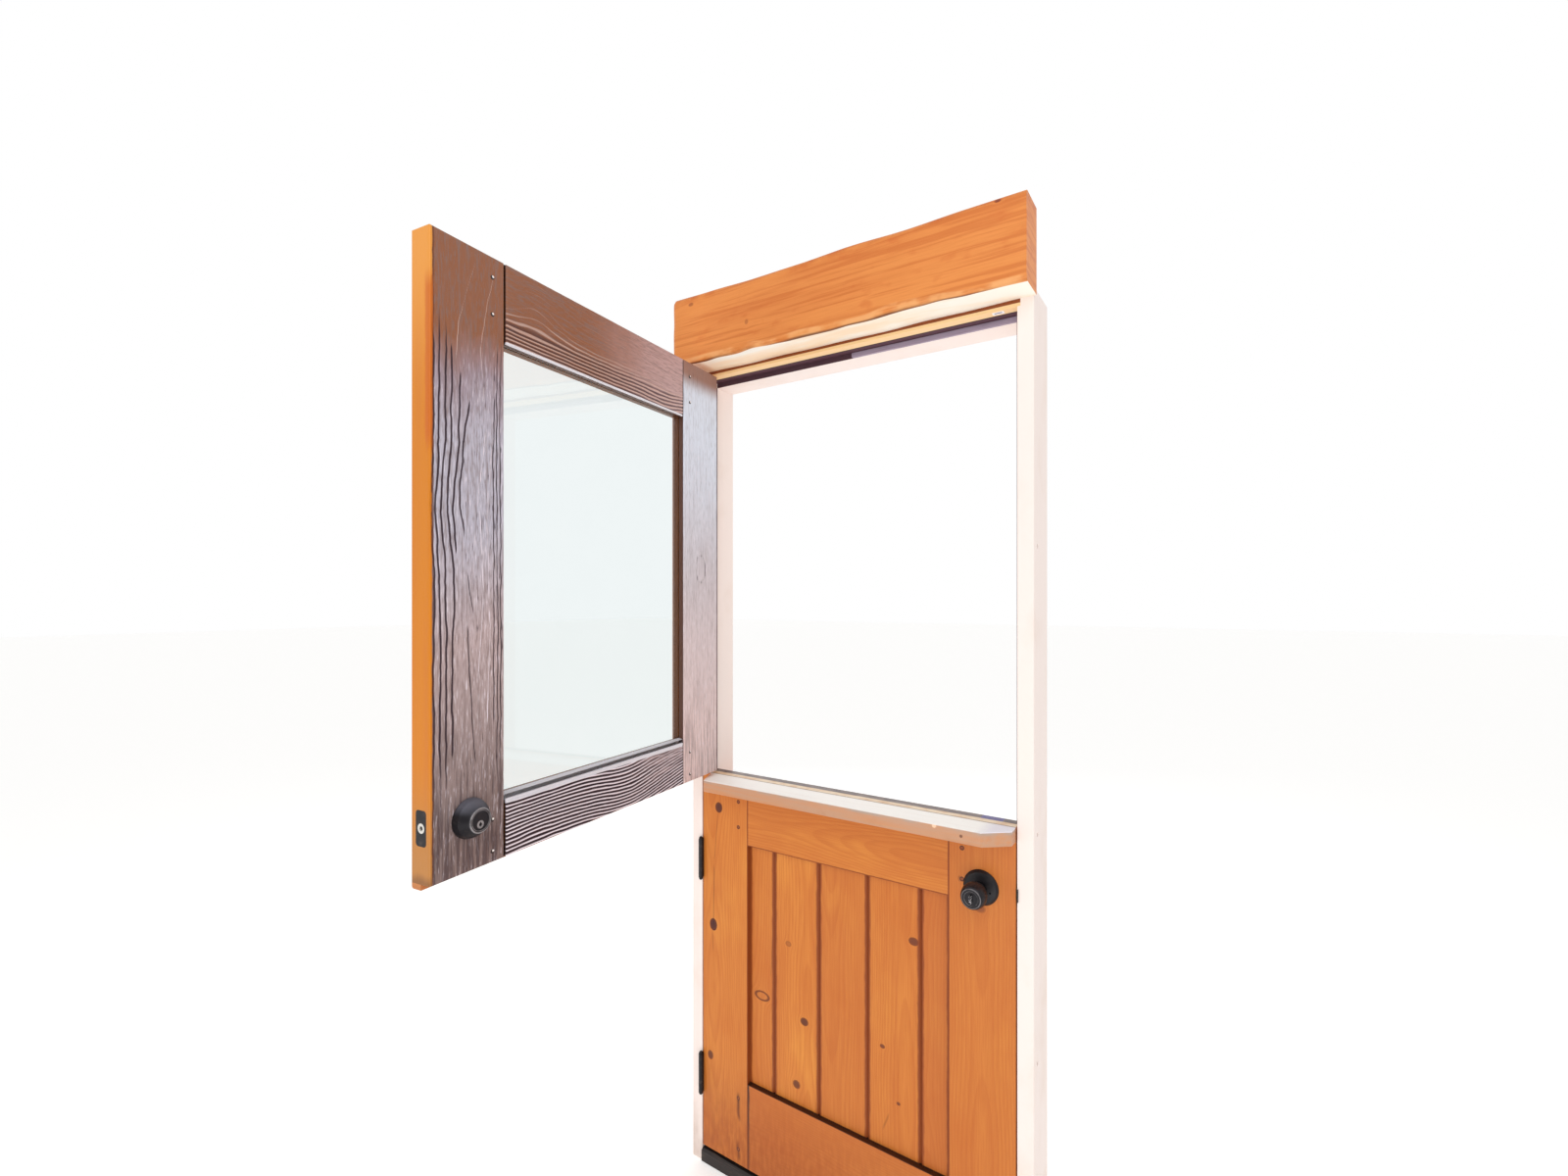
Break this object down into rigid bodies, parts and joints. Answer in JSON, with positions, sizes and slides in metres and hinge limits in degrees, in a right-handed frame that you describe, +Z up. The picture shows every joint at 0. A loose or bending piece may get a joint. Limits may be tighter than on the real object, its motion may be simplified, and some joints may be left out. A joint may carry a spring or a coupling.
{
  "type": "dutch stable door",
  "caption": "Timber stable door in its frame: a glazed upper leaf standing open over a boarded lower leaf with a shelf and knob latch, deadbolt above, heavy lintel.",
  "frame": {"origin": "middle of the doorway, on the inner face of the closed leaves, at the underside of the threshold", "axes": "+X to the right seen from inside the room (hinges at -X), +Y towards the outside, +Z up"},
  "size_m": [0.893, 0.9472, 2.2678],
  "materials": {
    "clear_pine": "clear-finished orange pine, satin",
    "lintel_pine": "hewn orange pine under a clear finish",
    "shelf_pine": "pale clear-finished pine, satin",
    "stained_pine": "dark brown stain on weathered pine, semi-gloss",
    "cream_paint": "cream paint on wood, eggshell",
    "window_glass": "clear float glass",
    "black_metal": "oil-rubbed black bronze, satin",
    "bolt_steel": "brushed steel",
    "brown_seal": "dark brown weather seal, matt",
    "black_seal": "black rubber sweep",
    "dark_threshold": "dark bronze anodised aluminium"
  },
  "bodies": {
    "frame": {"hinge_jamb": "cream_paint", "lock_jamb": "cream_paint", "head_jamb": "clear_pine", "hinge_stop": "cream_paint", "lock_stop": "cream_paint", "head_stop": "cream_paint", "lintel_beam": "lintel_pine", "threshold": "dark_threshold", "side_seals": "brown_seal", "head_seal": "brown_seal", "jamb_hinge_plate_1": "black_metal", "jamb_hinge_plate_2": "black_metal", "jamb_hinge_plate_3": "black_metal", "jamb_hinge_plate_4": "black_metal", "hinge_pins": "black_metal", "deadbolt_strike": "black_metal", "latch_strike": "black_metal", "frame_screws": "black_metal"},
    "upper_leaf": {"upper_hinge_stile": "stained_pine", "upper_lock_stile": "stained_pine", "upper_top_rail": "stained_pine", "upper_bottom_rail": "stained_pine", "glass_pane": "window_glass", "glass_bead_top": "clear_pine", "glass_bead_bottom": "clear_pine", "glass_bead_hinge": "clear_pine", "glass_bead_lock": "clear_pine", "upper_pegs": "stained_pine", "upper_hinge_plate_1": "black_metal", "upper_hinge_plate_2": "black_metal", "deadbolt_collar": "black_metal", "deadbolt_rose": "black_metal", "deadbolt_case": "black_metal", "meeting_seal": "clear_pine", "upper_leaf_screws": "black_metal"},
    "lower_leaf": {"lower_hinge_stile": "clear_pine", "lower_lock_stile": "clear_pine", "lower_top_rail": "clear_pine", "lower_bottom_rail": "clear_pine", "plank_1": "clear_pine", "plank_2": "clear_pine", "plank_3": "clear_pine", "plank_4": "clear_pine", "plank_5": "clear_pine", "shelf": "shelf_pine", "lower_pegs": "clear_pine", "lower_hinge_plate_1": "black_metal", "lower_hinge_plate_2": "black_metal", "latch_case": "black_metal", "inner_rose": "black_metal", "outer_rose": "black_metal", "door_sweep": "black_seal", "lower_leaf_screws": "black_metal"},
    "deadbolt_bolt": {"deadbolt_bolt": "bolt_steel"},
    "thumb_turn": {"thumb_turn": "black_metal"},
    "key_plug": {"key_plug": "black_metal"},
    "latch_bolt": {"latch_bolt": "bolt_steel"},
    "inner_knob": {"inner_knob": "black_metal"},
    "outer_knob": {"outer_knob": "black_metal"},
    "turn_button": {"turn_button": "black_metal"}
  },
  "joints": [
    {"name": "upper_leaf_swing", "type": "hinge", "parent": "frame", "child": "upper_leaf", "pos_m": [-0.408, -0.008, 0], "axis": [0, 0, -1], "range_deg": [-84, 6]},
    {"name": "lower_leaf_swing", "type": "hinge", "parent": "frame", "child": "lower_leaf", "pos_m": [-0.408, -0.008, 0], "axis": [0, 0, -1], "range_deg": [0, 90]},
    {"name": "thumb_turn_rotate", "type": "hinge", "parent": "upper_leaf", "child": "thumb_turn", "pos_m": [-0.32222, -0.74759, 1.134], "axis": [0.9945, 0.1045, 0], "range_deg": [0, 90]},
    {"name": "key_plug_rotate", "type": "hinge", "parent": "upper_leaf", "child": "key_plug", "pos_m": [-0.2725, -0.74236, 1.1275], "axis": [0.9945, 0.1045, 0], "range_deg": [0, 90]},
    {"name": "deadbolt_slide", "type": "slide", "parent": "upper_leaf", "child": "deadbolt_bolt", "axis": [0.1045, -0.9945, 0], "range_m": [0, 0.0254]},
    {"name": "inner_knob_rotate", "type": "hinge", "parent": "lower_leaf", "child": "inner_knob", "pos_m": [0.3365, 0, 0.9], "axis": [0, 1, 0], "range_deg": [0, 60]},
    {"name": "outer_knob_rotate", "type": "hinge", "parent": "lower_leaf", "child": "outer_knob", "pos_m": [0.3365, 0.0445, 0.9], "axis": [0, 1, 0], "range_deg": [0, 60]},
    {"name": "latch_slide", "type": "slide", "parent": "lower_leaf", "child": "latch_bolt", "axis": [-1, 0, 0], "range_m": [0, 0.011]},
    {"name": "turn_button_rotate", "type": "hinge", "parent": "inner_knob", "child": "turn_button", "pos_m": [0.3365, -0.05, 0.9], "axis": [0, 1, 0], "range_deg": [0, 90]}
  ],
  "couplings": [
    {"joint": "deadbolt_slide", "follows": "thumb_turn_rotate", "m_per_rad": 0.01615},
    {"joint": "key_plug_rotate", "follows": "thumb_turn_rotate", "ratio": 1},
    {"joint": "latch_slide", "follows": "inner_knob_rotate", "m_per_rad": 0.0105},
    {"joint": "outer_knob_rotate", "follows": "inner_knob_rotate", "ratio": 1}
  ]
}
